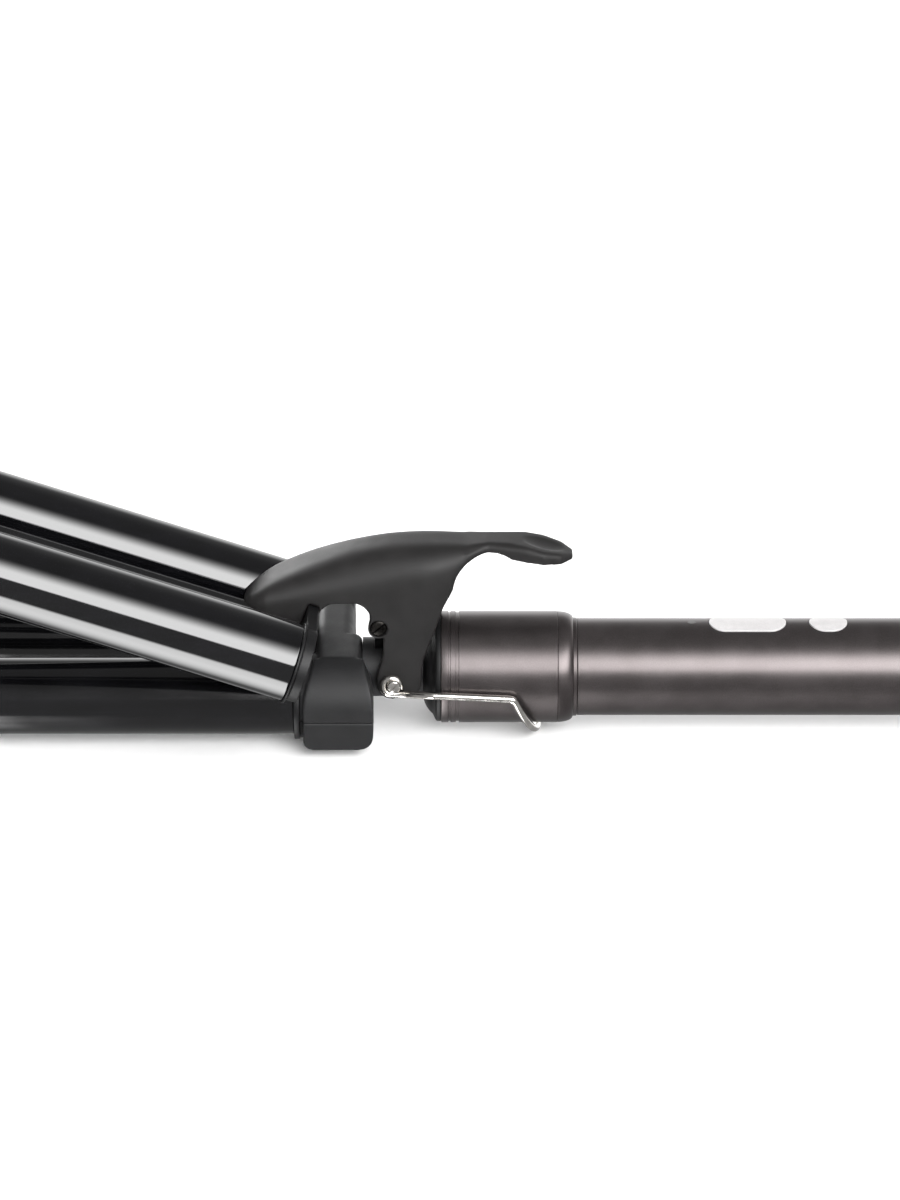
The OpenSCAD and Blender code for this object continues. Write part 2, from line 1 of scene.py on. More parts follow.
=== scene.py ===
"""Looks of a hair waver: two fixed and two hinged barrels, a thumb lever and a round handle.

The pieces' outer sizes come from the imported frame, and their details from the settings or
from named values beside them. Lengths are in millimetres from the hinge's axis until a piece
is placed; the frame itself is in metres.
"""

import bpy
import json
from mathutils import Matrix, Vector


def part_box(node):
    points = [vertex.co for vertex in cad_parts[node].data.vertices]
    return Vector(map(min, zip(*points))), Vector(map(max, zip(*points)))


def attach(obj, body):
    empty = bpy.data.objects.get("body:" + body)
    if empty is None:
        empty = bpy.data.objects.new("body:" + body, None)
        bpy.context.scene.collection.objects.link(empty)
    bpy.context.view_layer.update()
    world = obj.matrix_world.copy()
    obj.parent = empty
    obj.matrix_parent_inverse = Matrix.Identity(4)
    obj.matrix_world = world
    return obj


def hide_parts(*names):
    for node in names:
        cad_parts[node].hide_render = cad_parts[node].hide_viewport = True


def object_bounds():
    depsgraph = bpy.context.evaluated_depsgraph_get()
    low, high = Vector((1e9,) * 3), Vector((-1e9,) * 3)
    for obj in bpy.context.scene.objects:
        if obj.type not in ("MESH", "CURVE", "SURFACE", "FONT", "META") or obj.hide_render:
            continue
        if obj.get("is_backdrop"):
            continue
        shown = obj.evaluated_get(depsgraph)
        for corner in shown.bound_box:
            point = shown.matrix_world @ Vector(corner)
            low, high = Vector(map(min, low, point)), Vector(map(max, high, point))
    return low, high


bl_info = {
    "name": "Hair waver",
    "version": (1, 0, 0),
    "blender": (4, 5, 0),
    "location": "View3D > Sidebar > Waver",
    "description": "Builds the waver's visible pieces, finishes and studio around its CAD frame",
    "category": "Object",
}

import json
import math

import bpy
from bpy.props import FloatProperty, PointerProperty, StringProperty
from mathutils import Matrix, Vector

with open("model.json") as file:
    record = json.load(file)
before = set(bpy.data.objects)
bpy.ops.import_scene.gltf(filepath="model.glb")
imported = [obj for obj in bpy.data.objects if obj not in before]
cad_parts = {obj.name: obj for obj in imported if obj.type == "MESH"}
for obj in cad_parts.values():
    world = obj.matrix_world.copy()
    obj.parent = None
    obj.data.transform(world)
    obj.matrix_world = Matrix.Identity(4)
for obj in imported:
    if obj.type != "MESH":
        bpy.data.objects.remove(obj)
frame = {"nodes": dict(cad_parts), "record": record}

MM = 0.001
RECORD = frame["record"]
JOINTS = {j["name"]: j for j in RECORD["behaviour"]["joints"]}
SLOT_OF = {s["node"]: s["material_slot"] for s in RECORD["subparts"]}
BODY_OF = {n: b for b, nodes in RECORD["behaviour"]["bodies"].items() for n in nodes}
PIVOT = Vector(JOINTS["jaw_hinge"]["pos_m"])
OPEN = math.radians(-JOINTS["jaw_hinge"]["range_deg"][0])
SIDES = ("near", "far")
ROUND = 128
FINE = 160
HALF_TURN = math.pi
# Thickness of each row's flange and length of the stub behind it, in millimetres
FLANGES = {"lower": (1.7, 4.4), "upper": (0.8, 2.7)}


def node_box(node):
    """A node's corners in millimetres from the hinge's axis."""
    low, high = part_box(node)
    return (Vector(low) - PIVOT) / MM, (Vector(high) - PIVOT) / MM


def to_frame():
    """Takes millimetres from the hinge's axis to the frame's metres."""
    return Matrix.Translation(PIVOT) @ Matrix.Scale(MM, 4)


def swung_open():
    """The turn about the hinge that takes the shut jaw to its stored, open place."""
    return to_frame() @ Matrix.Rotation(OPEN, 4, "Y")


# ---- Modelling helpers


def select_only(obj):
    """Leaves one object selected and active."""
    bpy.ops.object.select_all(action="DESELECT")
    obj.select_set(True)
    bpy.context.view_layer.objects.active = obj


def apply_modifier(obj, kind, **settings):
    """Adds a modifier with its settings and applies it."""
    select_only(obj)
    modifier = obj.modifiers.new(kind.title(), kind)
    for name, value in settings.items():
        setattr(modifier, name, value)
    bpy.ops.object.modifier_apply(modifier=modifier.name)


def close_up(obj, gap):
    """Merges doubled points and turns the faces outwards."""
    select_only(obj)
    bpy.ops.object.mode_set(mode="EDIT")
    bpy.ops.mesh.select_all(action="SELECT")
    bpy.ops.mesh.remove_doubles(threshold=gap)
    bpy.ops.mesh.normals_make_consistent(inside=False)
    bpy.ops.object.mode_set(mode="OBJECT")


def settle(obj, matrix):
    """Moves an object by a matrix and applies its place to its mesh."""
    select_only(obj)
    obj.matrix_world = matrix @ obj.matrix_world
    bpy.ops.object.transform_apply(location=True, rotation=True, scale=True)


def shade(obj, degrees=32):
    """Smooths the shading except across edges sharper than an angle."""
    select_only(obj)
    bpy.ops.object.shade_smooth_by_angle(angle=math.radians(degrees))


def join(objects, name):
    """Joins objects into one mesh with the name given."""
    select_only(objects[0])
    for obj in objects[1:]:
        obj.select_set(True)
    bpy.ops.object.join()
    objects[0].name = objects[0].data.name = name
    return objects[0]


def copy_of(obj, name):
    """A copy of an object with a mesh of its own."""
    piece = obj.copy()
    piece.data = obj.data.copy()
    piece.name = piece.data.name = name
    bpy.context.scene.collection.objects.link(piece)
    return piece


def cut(obj, cutter):
    """Takes a cutter's shape out of an object."""
    apply_modifier(obj, "BOOLEAN", operation="DIFFERENCE", solver="EXACT", object=cutter)
    bpy.data.objects.remove(cutter)


def dress(obj, *nodes):
    """Gives a piece that stands for nodes their body, their slot and its finish."""
    slot = SLOT_OF[nodes[0]]
    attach(obj, BODY_OF[nodes[0]])
    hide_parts(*nodes)
    obj.data.materials.clear()
    obj.data.materials.append(FINISH[slot])


def arc(x, r, radius, start, end, steps=4):
    """Points (x, r) on an arc about a centre, with its angles in degrees."""
    turns = [math.radians(start + (end - start) * i / steps) for i in range(steps + 1)]
    return [(x + radius * math.cos(t), r + radius * math.sin(t)) for t in turns]


def supported(outline, reach=3, inset=0.25):
    """Adds points near both ends of each long edge, so that its shading stays straight."""
    path = []
    for start, end in zip(outline, outline[1:] + outline[:1]):
        path.append(start)
        length = math.dist(start, end)
        if length > reach:
            for t in (inset / length, 1 - inset / length):
                path.append(tuple(a + (b - a) * t for a, b in zip(start, end)))
    return path


def lathe(name, outline, at=(0, 0), steps=ROUND):
    """Draws a closed outline of (x, radius) by extruding a point, then spins it about X."""
    bpy.ops.mesh.primitive_plane_add(size=1)
    obj = bpy.context.object
    obj.name = obj.data.name = name
    bpy.ops.object.mode_set(mode="EDIT")
    bpy.ops.mesh.select_all(action="SELECT")
    bpy.ops.mesh.merge(type="CENTER")
    points = [Vector((x, at[0], at[1] + r)) for x, r in supported(outline)]
    bpy.ops.transform.translate(value=points[0])
    for last, point in zip(points, points[1:] + points[:1]):
        bpy.ops.mesh.extrude_vertices_move(TRANSFORM_OT_translate={"value": point - last})
    bpy.ops.mesh.select_all(action="SELECT")
    bpy.ops.mesh.spin(steps=steps, angle=2 * math.pi, center=(0, *at), axis=(1, 0, 0))
    bpy.ops.object.mode_set(mode="OBJECT")
    close_up(obj, 0.01)
    shade(obj)
    return obj


def moulded(name, node, voxel, rounds, cutters=(), crown=None):
    """Copies a CAD node, cuts it, and gives it the soft edges of a moulding.

    A crown gives each point a weight from 0 to 1 for a second, longer smoothing.
    """
    obj = copy_of(frame["nodes"][node], name)
    settle(obj, to_frame().inverted())
    close_up(obj, 0.01)
    for cutter in cutters:
        cut(obj, cutter)
    apply_modifier(obj, "REMESH", mode="VOXEL", voxel_size=voxel)
    apply_modifier(obj, "SMOOTH", factor=0.5, iterations=rounds)
    if crown:
        group = obj.vertex_groups.new(name="crown")
        for vertex in obj.data.vertices:
            group.add([vertex.index], crown(vertex.co), "REPLACE")
        apply_modifier(obj, "SMOOTH", factor=0.5, iterations=70, vertex_group="crown")
        obj.vertex_groups.clear()
    settle(obj, to_frame())
    select_only(obj)
    bpy.ops.object.shade_smooth()
    return obj


# ---- Materials


def linear(hex_colour):
    """An sRGB hex colour as the linear colour that shaders take."""
    parts = [int(hex_colour[i:i + 2], 16) / 255 for i in (1, 3, 5)]
    return (*(c / 12.92 if c <= 0.04045 else ((c + 0.055) / 1.055) ** 2.4 for c in parts), 1)


def add(tree, kind, links=None, **settings):
    """Adds a node, sets its inputs or properties, and links its inputs to other sockets."""
    node = tree.nodes.new(kind)
    for name, value in settings.items():
        label = name.replace("_", " ")
        if label in node.inputs.keys():
            node.inputs[label].default_value = value
        else:
            setattr(node, name, value)
    for name, socket in (links or {}).items():
        tree.links.new(socket, node.inputs[name])
    return node


def surface(name, dark, light, roughness, cloud_mm, grain_mm, relief_mm, stretch=(1, 1, 1),
            **shader):
    """A finish whose colour and gloss drift over cloud_mm, with a fine grain and its relief.

    The pattern's scales are real millimetres. Extra settings go on the shader's own sockets.
    """
    material = bpy.data.materials.new(name)
    material.use_nodes = True
    tree = material.node_tree
    principled = tree.nodes["Principled BSDF"]
    for socket, value in shader.items():
        principled.inputs[socket.replace("_", " ")].default_value = value
    place = add(tree, "ShaderNodeTexCoord").outputs["Object"]
    drawn = add(tree, "ShaderNodeMapping", {"Vector": place}, Scale=stretch).outputs[0]
    cloud = add(tree, "ShaderNodeTexNoise", {"Vector": place}, Scale=1 / (cloud_mm * MM),
                Detail=2.0)
    grain = add(tree, "ShaderNodeTexNoise", {"Vector": drawn}, Scale=1 / (grain_mm * MM),
                Detail=3.0)
    blend = add(tree, "ShaderNodeMix", {"A": cloud.outputs[0], "B": grain.outputs[0]}, Factor=0.5)
    colours = add(tree, "ShaderNodeValToRGB", {"Fac": blend.outputs[0]})
    for stop, position, colour in zip(colours.color_ramp.elements, (0.38, 0.62), (dark, light)):
        stop.position, stop.color = position, linear(colour)
    gloss = add(tree, "ShaderNodeMapRange", {"Value": blend.outputs[0]}, From_Min=0.35,
                From_Max=0.65, To_Min=roughness[0], To_Max=roughness[1])
    relief = add(tree, "ShaderNodeBump", {"Height": grain.outputs[0]}, Distance=relief_mm * MM)
    tree.links.new(colours.outputs[0], principled.inputs["Base Color"])
    tree.links.new(gloss.outputs[0], principled.inputs["Roughness"])
    tree.links.new(relief.outputs[0], principled.inputs["Normal"])
    return material


def make_finishes(look):
    """One material for each slot of the record."""
    return {
        # Drawn aluminium tube sprayed with a warm grey metallic lacquer: one soft broad sheen
        # along the tube, with its flake drawn coarser than the real one so that it shows.
        "gunmetal_sleeve": surface("metallic_lacquered_aluminium", look.sleeve_dark,
                                   look.sleeve_light, (0.30, 0.35), 9, 0.3, 0.003,
                                   Metallic=0.88),
        # The same lacquer on a moulded ring, a little darker and smoother.
        "gunmetal_ring": surface("metallic_lacquered_abs", look.ring_dark, look.ring_light,
                                 (0.29, 0.34), 6, 0.3, 0.003, Metallic=0.88),
        # Black ceramic enamel baked on a polished tube: mirror gloss, with wipe marks along it.
        "barrel_coat": surface("black_ceramic_enamel", "#040405", "#08080a", (0.05, 0.085),
                               14, 2.2, 0.0004, stretch=(0.1, 1, 1), IOR=1.6),
        # Satin injection-moulded ABS with a fine spark-eroded grain that softens highlights.
        "lever_plastic": surface("satin_black_abs", look.lever_dark, look.lever_light, (0.50, 0.60),
                                 6, 0.28, 0.008, IOR=1.5, Specular_IOR_Level=0.3),
        # Glass-filled nylon, a duller and slightly rougher black for the parts near the heat.
        "heatproof_plastic": surface("glass_filled_nylon", "#161617", "#1c1c1d", (0.50, 0.62),
                                     5, 0.34, 0.012, IOR=1.5, Specular_IOR_Level=0.3),
        # Nylon from a plain tool: near black, with a dull sheen that keeps the collars quiet.
        "gloss_black_plastic": surface("moulded_black_nylon", "#0a0a0b", "#0f0f10", (0.42, 0.52),
                                       5, 0.4, 0.006, IOR=1.5, Specular_IOR_Level=0.3),
        # White ABS keys, smooth with the faint mottle of a translucent resin.
        "button_plastic": surface("white_abs", look.key_dark, look.key_light, (0.30, 0.38),
                                  4, 0.4, 0.003, IOR=1.5),
        # Frosted acrylic light pipe: a dull grey dot while it is unlit.
        "lens": surface("frosted_acrylic", "#4c4a4a", "#585656", (0.30, 0.40),
                        2, 0.2, 0.004, IOR=1.49),
        # Nickel plate over drawn steel: bright, with fine drawing marks.
        "bright_steel": surface("nickel_plated_steel", "#c9c6c1", "#dedbd6", (0.14, 0.24),
                                3, 0.5, 0.001, Metallic=1.0),
        # Drawn spring steel, oiled and greyer.
        "spring_steel": surface("drawn_spring_steel", "#7c7b79", "#96948f", (0.24, 0.34),
                                3, 0.4, 0.002, Metallic=1.0),
        # Aluminium extrusion with die lines along it.
        "heater_aluminium": surface("extruded_aluminium", "#a9a9a9", "#c4c4c4", (0.30, 0.42),
                                    6, 0.6, 0.004, stretch=(0.05, 1, 1), Metallic=1.0),
        # Glass-epoxy board under green solder mask, with the weave showing faintly.
        "board": surface("green_solder_mask", "#0f3a20", "#17502d", (0.28, 0.40),
                         4, 0.6, 0.004, IOR=1.55),
        # Moulded switch resin, plain satin black.
        "switch_body": surface("black_switch_resin", "#1b1b1e", "#232327", (0.35, 0.45),
                               3, 0.3, 0.004, IOR=1.5),
        # Natural nylon carrier, off-white.
        "carrier_plastic": surface("natural_nylon", "#aeada6", "#bebdb6", (0.40, 0.52),
                                   5, 0.4, 0.006, IOR=1.5),
        # Silicone rubber insulation, matt and slightly dusty.
        "wire_insulation": surface("red_silicone_rubber", "#6f1712", "#84221b", (0.45, 0.58),
                                   4, 0.3, 0.006, IOR=1.43),
    }


def make_screw_black():
    """Steel blackened in hot oxide: still metallic, rubbed brighter in patches."""
    return surface("black_oxide_steel", "#1c1b1a", "#3b3937", (0.26, 0.40),
                   2, 0.3, 0.003, Metallic=1.0)


FINISH = {}


# ---- Settings


class WaverStudioSettings(bpy.types.PropertyGroup):
    """Camera, floor and light."""

    elevation: FloatProperty(name="Elevation", description="Height of the view above the horizon",
                             default=math.radians(24), subtype="ANGLE")
    lens: FloatProperty(name="Lens", description="Focal length of the camera", default=135,
                        unit="CAMERA")
    view_height: FloatProperty(name="View height", description="Height of the view at the handle",
                               default=0.3451, subtype="DISTANCE", unit="LENGTH")
    aim_x: FloatProperty(name="Aim along", description="View centre, from the hinge to the cord",
                         default=0.0164, subtype="DISTANCE", unit="LENGTH")
    aim_up: FloatProperty(name="Aim up", description="View centre, up from the handle's axis",
                          default=0.0191, subtype="DISTANCE", unit="LENGTH")
    softbox: FloatProperty(name="Softbox", description="Brightness of the front softbox",
                           default=12.5, min=0)
    card: FloatProperty(name="Low card", description="Brightness of the low reflector card",
                        default=10.0, min=0)
    backdrop: FloatProperty(name="Backdrop", description="Brightness of the white backdrop",
                            default=1.3, min=0)
    rear_card: FloatProperty(name="Rear card", default=7.0, min=0,
                             description="Brightness of the card behind on the left")
    room: FloatProperty(name="Room", description="Brightness of the rest of the room",
                        default=0.36, min=0)
    overhead: FloatProperty(name="Overhead", description="Strength of the overhead diffuser",
                            default=1.9, min=0)


class WaverSizeSettings(bpy.types.PropertyGroup):
    """Sizes of the details that the frame leaves plain."""

    barrel_wall: FloatProperty(name="Barrel wall", description="Thickness of a barrel's wall",
                               default=1.5 * MM, subtype="DISTANCE", unit="LENGTH")
    barrel_lip: FloatProperty(name="Barrel lip", description="Radius of a barrel's rolled end",
                              default=0.3 * MM, subtype="DISTANCE", unit="LENGTH")
    tip_dome: FloatProperty(name="Tip dome", description="Edge radius of a tip cap",
                            default=3.5 * MM, subtype="DISTANCE", unit="LENGTH")
    groove_depth: FloatProperty(name="Groove depth", description="Depth of the ferrule's grooves",
                                default=0.35 * MM, subtype="DISTANCE", unit="LENGTH")
    wire_radius: FloatProperty(name="Wire radius", description="Radius of the stand's wire",
                               default=1.075 * MM, subtype="DISTANCE", unit="LENGTH")
    hoop_tilt: FloatProperty(name="Hoop tilt", description="Tilt of the stand's crossbar",
                             default=math.radians(25), subtype="ANGLE")
    slot_width: FloatProperty(name="Slot width", description="Width of the screws' slots",
                              default=0.5 * MM, subtype="DISTANCE", unit="LENGTH")
    slot_depth: FloatProperty(name="Slot depth", description="Depth of the screws' slots",
                              default=0.45 * MM, subtype="DISTANCE", unit="LENGTH")


class WaverFinishSettings(bpy.types.PropertyGroup):
    """Colours of the finishes, as sRGB hex."""

    sleeve_dark: StringProperty(name="Sleeve, dark", default="#504b4b",
                                description="Darker colour of the metal sleeves")
    sleeve_light: StringProperty(name="Sleeve, light", default="#5a5555",
                                 description="Lighter colour of the metal sleeves")
    ring_dark: StringProperty(name="Ring, dark", description="Darker colour of the shoulder ring",
                              default="#4c4747")
    ring_light: StringProperty(name="Ring, light", default="#555050",
                               description="Lighter colour of the shoulder ring")
    lever_dark: StringProperty(name="Lever, dark", description="Darker colour of the lever",
                               default="#151414")
    lever_light: StringProperty(name="Lever, light", description="Lighter colour of the lever",
                                default="#1b1a1a")
    key_dark: StringProperty(name="Keys, dark", description="Darker colour of the keys",
                             default="#a6a4a4")
    key_light: StringProperty(name="Keys, light", description="Lighter colour of the keys",
                              default="#b2b0b0")


# ---- Pieces


class MakeFinishes(bpy.types.Operator):
    """Makes the materials and puts them on the frame's own nodes"""

    bl_idname = "waver.make_finishes"
    bl_label = "Finishes"

    def execute(self, context):
        FINISH.update(make_finishes(context.scene.waver_finish))
        FINISH["black_screw"] = make_screw_black()
        for node, obj in frame["nodes"].items():
            obj.data.materials.clear()
            obj.data.materials.append(FINISH[SLOT_OF[node]])
        return {"FINISHED"}


def barrel_middle(row, side):
    """The middle of a barrel's axis with the jaws shut."""
    low, high = node_box(f"{row}_barrel_{side}")
    middle = (low + high) / 2
    if row == "upper":
        middle = Matrix.Rotation(-OPEN, 4, "Y") @ middle
    return middle


def barrel_size():
    """Length and radius of a barrel."""
    low, high = node_box("lower_barrel_near")
    return high.x - low.x, (high.z - low.z) / 2


def place_on_barrels(master, part):
    """Copies a piece drawn about the middle of a barrel to all four, and removes the master."""
    for row in ("lower", "upper"):
        for side in SIDES:
            node = f"{row}_{part}_{side}"
            piece = copy_of(master, f"{node}_piece")
            turn = swung_open() if row == "upper" else to_frame()
            settle(piece, turn @ Matrix.Translation(barrel_middle(row, side)))
            dress(piece, node)
    bpy.data.objects.remove(master)


def place_round(name, outline, node, steps=ROUND):
    """Turns an outline about the handle's axis into a piece that stands for a node."""
    piece = lathe(name, outline, steps=steps)
    settle(piece, to_frame())
    dress(piece, node)


class MakeBarrels(bpy.types.Operator):
    """Adds the four enamelled barrels, with their lips rolled in"""

    bl_idname = "waver.make_barrels"
    bl_label = "Barrels"

    def execute(self, context):
        size = context.scene.waver_size
        wall, lip = size.barrel_wall / MM, size.barrel_lip / MM
        length, r = barrel_size()
        half = length / 2
        outline = [(half, r - wall), *arc(half - lip, r - lip, lip, 0, 90),
                   *arc(lip - half, r - lip, lip, 90, 180), (-half, r - wall)]
        place_on_barrels(lathe("barrel", outline, steps=FINE), "barrel")
        return {"FINISHED"}


class MakeTips(bpy.types.Operator):
    """Adds the domed end caps, each with a shadow line and a small dimple from its mould"""

    bl_idname = "waver.make_tips"
    bl_label = "Tip caps"

    def execute(self, context):
        size = context.scene.waver_size
        length, r = barrel_size()
        start, dome = -length / 2, size.tip_dome / MM
        plug, plug_r = 5, r - size.barrel_wall / MM - 0.1
        shadow, depth = 0.25, 6
        end, dimple, sunk = start - depth, 2.2, 0.3
        outline = [(start + plug, 0), (start + plug, plug_r), (start, plug_r), (start, r - shadow),
                   (start - shadow, r), *arc(end + dome, r - dome, dome, 90, 180, 10),
                   (end, dimple), (end + sunk, dimple - 0.4), (end + sunk, 0)]
        place_on_barrels(lathe("tip", outline), "tip")
        return {"FINISHED"}


class MakeCollars(bpy.types.Operator):
    """Adds the heat-resistant flanges at the barrels' roots"""

    bl_idname = "waver.make_collars"
    bl_label = "Barrel collars"

    def execute(self, context):
        length, r = barrel_size()
        plug_r = r - context.scene.waver_size.barrel_wall / MM - 0.1
        bore, stub, plug, edge = 4.1, 8, 6, 0.25
        for row, (thick, behind) in FLANGES.items():
            for side in SIDES:
                node = f"{row}_collar_{side}"
                low, high = node_box(node)
                rim = (high.y - low.y) / 2 - edge
                outline = [(-plug, bore), (-plug, plug_r), (0.01, plug_r), (0.01, rim),
                           *arc(0.01 + edge, rim, edge, 180, 90, 3),
                           *arc(thick - edge, rim, edge, 90, 0, 3), (thick, stub),
                           (thick + behind, stub), (thick + behind, bore)]
                piece = lathe(f"{node}_piece", outline)
                shift = Matrix.Translation(barrel_middle(row, side) + Vector((length / 2, 0, 0)))
                settle(piece, (swung_open() if row == "upper" else to_frame()) @ shift)
                dress(piece, node)
        return {"FINISHED"}


class MakeFerrule(bpy.types.Operator):
    """Adds the ferrule with its two grooves, the shoulder ring and the domed collar"""

    bl_idname = "waver.make_ferrule"
    bl_label = "Ferrule"

    def execute(self, context):
        low, high = node_box("ferrule")
        front, back, r = low.x, high.x, high.z
        inside, lip = r - 2.8, 0.35
        floor_r = r - context.scene.waver_size.groove_depth / MM
        outline = [(front, inside), (front, r - lip), *arc(front + lip, r - lip, lip, 180, 90, 4)]
        for start, width in ((2.2, 0.5), (4.3, 0.8)):
            x = front + start
            outline += [(x - 0.1, r), (x, floor_r), (x + width, floor_r), (x + width + 0.1, r)]
        outline += [(back - 0.15, r), (back, r - 0.15), (back, inside)]
        place_round("ferrule_sleeve", outline, "ferrule", FINE)

        grip_low, grip_high = node_box("grip_shell")
        end, small, fall = grip_low.x, grip_high.z, 4.4
        turns = [math.pi / 2 * i / 14 for i in range(15)]
        curve = [(back + 0.05 + fall * math.sin(t), small + 0.2 + (r - small - 0.25) * math.cos(t))
                 for t in turns]
        outline = [(back, inside), (back, r - 0.2), *curve, (end - 0.35, small + 0.2),
                   (end - 0.05, small - 0.15), (end - 0.05, inside)]
        place_round("shoulder_ring", outline, "joint_ring", FINE)

        nose = node_box("neck_collar")[0].x
        neck, plug, seat = 8.55, 4, r - 0.3
        outline = [(front + plug, neck), (nose, neck), *arc(16.1, 7.73, 7.44, 173.5, 129, 12),
                   (front - 1.7, r - 0.95), (front - 1.35, r - 0.45), (front - 1.0, seat),
                   (front - 0.1, seat), (front - 0.02, r - 0.4), (front - 0.02, inside - 0.1),
                   (front + plug, inside - 0.1)]
        place_round("domed_collar", outline, "neck_collar", FINE)
        return {"FINISHED"}


class MakeRear(bpy.types.Operator):
    """Adds the rear cap and the ribbed nose of the cord swivel"""

    bl_idname = "waver.make_rear"
    bl_label = "Rear cap and swivel"

    def execute(self, context):
        grip_high = node_box("grip_shell")[1]
        r, start, end = grip_high.z, grip_high.x, node_box("rear_cap")[1].x
        plug, plug_r, bore, edge = 6, r - 2.1, 6.05, 2.2
        outline = [(start - plug, 9), (start - plug, plug_r), (start, plug_r),
                   (start + 0.02, r - 0.3), (start + 0.3, r - 0.05),
                   *arc(end - edge, r - edge, edge, 90, 0, 8), (end, bore + 0.25),
                   (end - 0.25, bore), (start, bore), (start, 9)]
        place_round("rear_cap_moulding", outline, "rear_cap")

        low, high = node_box("swivel_gland")
        bore, journal, flange, nose = 3.6, 6, 8.4, high.x - 9.5
        outline = [(low.x, bore), (low.x, flange), (low.x + 2.4, flange), (low.x + 2.4, journal),
                   (nose, journal), (nose, 6.9), *arc(nose + 0.3, 6.9, 0.3, 180, 90, 3)]
        pitch, taper = 2.1, 0.55
        for i in range(3):
            x, rib = nose + pitch * (i + 1), 7.1 - taper * i
            outline += [(x, rib), (x + 0.25, rib - 0.9), (x + 1.0, rib - 0.95),
                        (x + 1.25, rib - 0.15)]
        outline += [(high.x - 0.4, 5.1), (high.x, 4.7), (high.x, bore)]
        place_round("cord_swivel_nose", outline, "swivel_gland")
        return {"FINISHED"}


def roof_weight(point):
    """1 on the lever's roof, fading out towards its lower edges and its thumb pad."""
    fade, bottom, back = 5, 27, 22
    rise, run = (point.z - bottom) / fade, (back - point.x) / fade
    return max(0, min(1, rise)) * max(0, min(1, run))


class MakeLever(bpy.types.Operator):
    """Adds the thumb lever: a moulded shell with a dished pad"""

    bl_idname = "waver.make_lever"
    bl_label = "Thumb lever"

    def execute(self, context):
        bpy.ops.object.select_all(action="DESELECT")
        bpy.ops.mesh.primitive_uv_sphere_add(segments=48, ring_count=24, radius=1)
        dish = bpy.context.object
        dish.scale = (8.5, 5.2, 2.2)
        dish.rotation_euler = (0, math.radians(17), 0)
        dish.location = (42.5, 0, 40.1)
        bpy.ops.object.transform_apply(location=True, rotation=True, scale=True)
        bpy.ops.mesh.primitive_cylinder_add(vertices=96, radius=10.6, depth=40,
                                            location=(27.9, 0, 27.2),
                                            rotation=(HALF_TURN / 2, 0, 0))
        hollow = bpy.context.object
        bpy.ops.object.transform_apply(location=True, rotation=True, scale=True)
        lever = moulded("thumb_lever", "lever_shell", 0.36, 10, [dish, hollow], roof_weight)
        dress(lever, "lever_shell")
        return {"FINISHED"}


class MakeBracket(bpy.types.Operator):
    """Adds the bracket's two shells and the jaw's end plate, with the soft edges of mouldings"""

    bl_idname = "waver.make_bracket"
    bl_label = "Bracket and jaw plate"

    def execute(self, context):
        mouldings = (("bracket_top_shell", "bracket_upper", 0.36, 9),
                     ("bracket_base_shell", "bracket_lower", 0.36, 9),
                     ("jaw_end_plate", "jaw_frame", 0.28, 5))
        for name, node, voxel, rounds in mouldings:
            dress(moulded(name, node, voxel, rounds), node)
        # Painted shade: the end plate takes the darkest nylon instead of its own slot's finish, so
        # that it reads black like the shade that falls between the barrels' ends and the bracket.
        plate = bpy.data.objects["jaw_end_plate"]
        plate.data.materials[0] = FINISH["gloss_black_plastic"]
        return {"FINISHED"}


class MakeKeys(bpy.types.Operator):
    """Adds the two white keys, crowned and rounded at their edges"""

    bl_idname = "waver.make_keys"
    bl_label = "Keys"

    def execute(self, context):
        for name, node in (("power_key_cap", "power_button"),
                           ("temperature_key_cap", "temperature_button")):
            dress(moulded(name, node, 0.16, 3), node)
        return {"FINISHED"}


def eased(points, reach, steps=6):
    """Rounds each corner of a path, starting the curve a given distance from the corner."""
    path = [points[0]]
    for before, corner, after in zip(points, points[1:], points[2:]):
        into, out = corner - before, after - corner
        r = min(reach, into.length / 2, out.length / 2)
        a, b = corner - into.normalized() * r, corner + out.normalized() * r
        for i in range(steps + 1):
            t = i / steps
            path.append((1 - t) ** 2 * a + 2 * t * (1 - t) * corner + t * t * b)
    return path + [points[-1]]


def bent_wire(name, points, radius):
    """Extrudes a point along a path, turns that line to a curve and gives it round thickness."""
    bpy.ops.object.select_all(action="DESELECT")
    bpy.ops.mesh.primitive_plane_add(size=1)
    obj = bpy.context.object
    obj.name = name
    bpy.ops.object.mode_set(mode="EDIT")
    bpy.ops.mesh.select_all(action="SELECT")
    bpy.ops.mesh.merge(type="CENTER")
    bpy.ops.transform.translate(value=points[0])
    for last, point in zip(points, points[1:]):
        bpy.ops.mesh.extrude_vertices_move(TRANSFORM_OT_translate={"value": point - last})
    bpy.ops.object.mode_set(mode="OBJECT")
    bpy.ops.object.convert(target="CURVE")
    curve = bpy.context.object
    curve.data.bevel_depth = radius
    curve.data.bevel_resolution = 6
    curve.data.use_fill_caps = True
    bpy.ops.object.convert(target="MESH")
    wire = bpy.context.object
    wire.name = wire.data.name = name
    close_up(wire, 0.005)
    shade(wire, 50)
    return wire


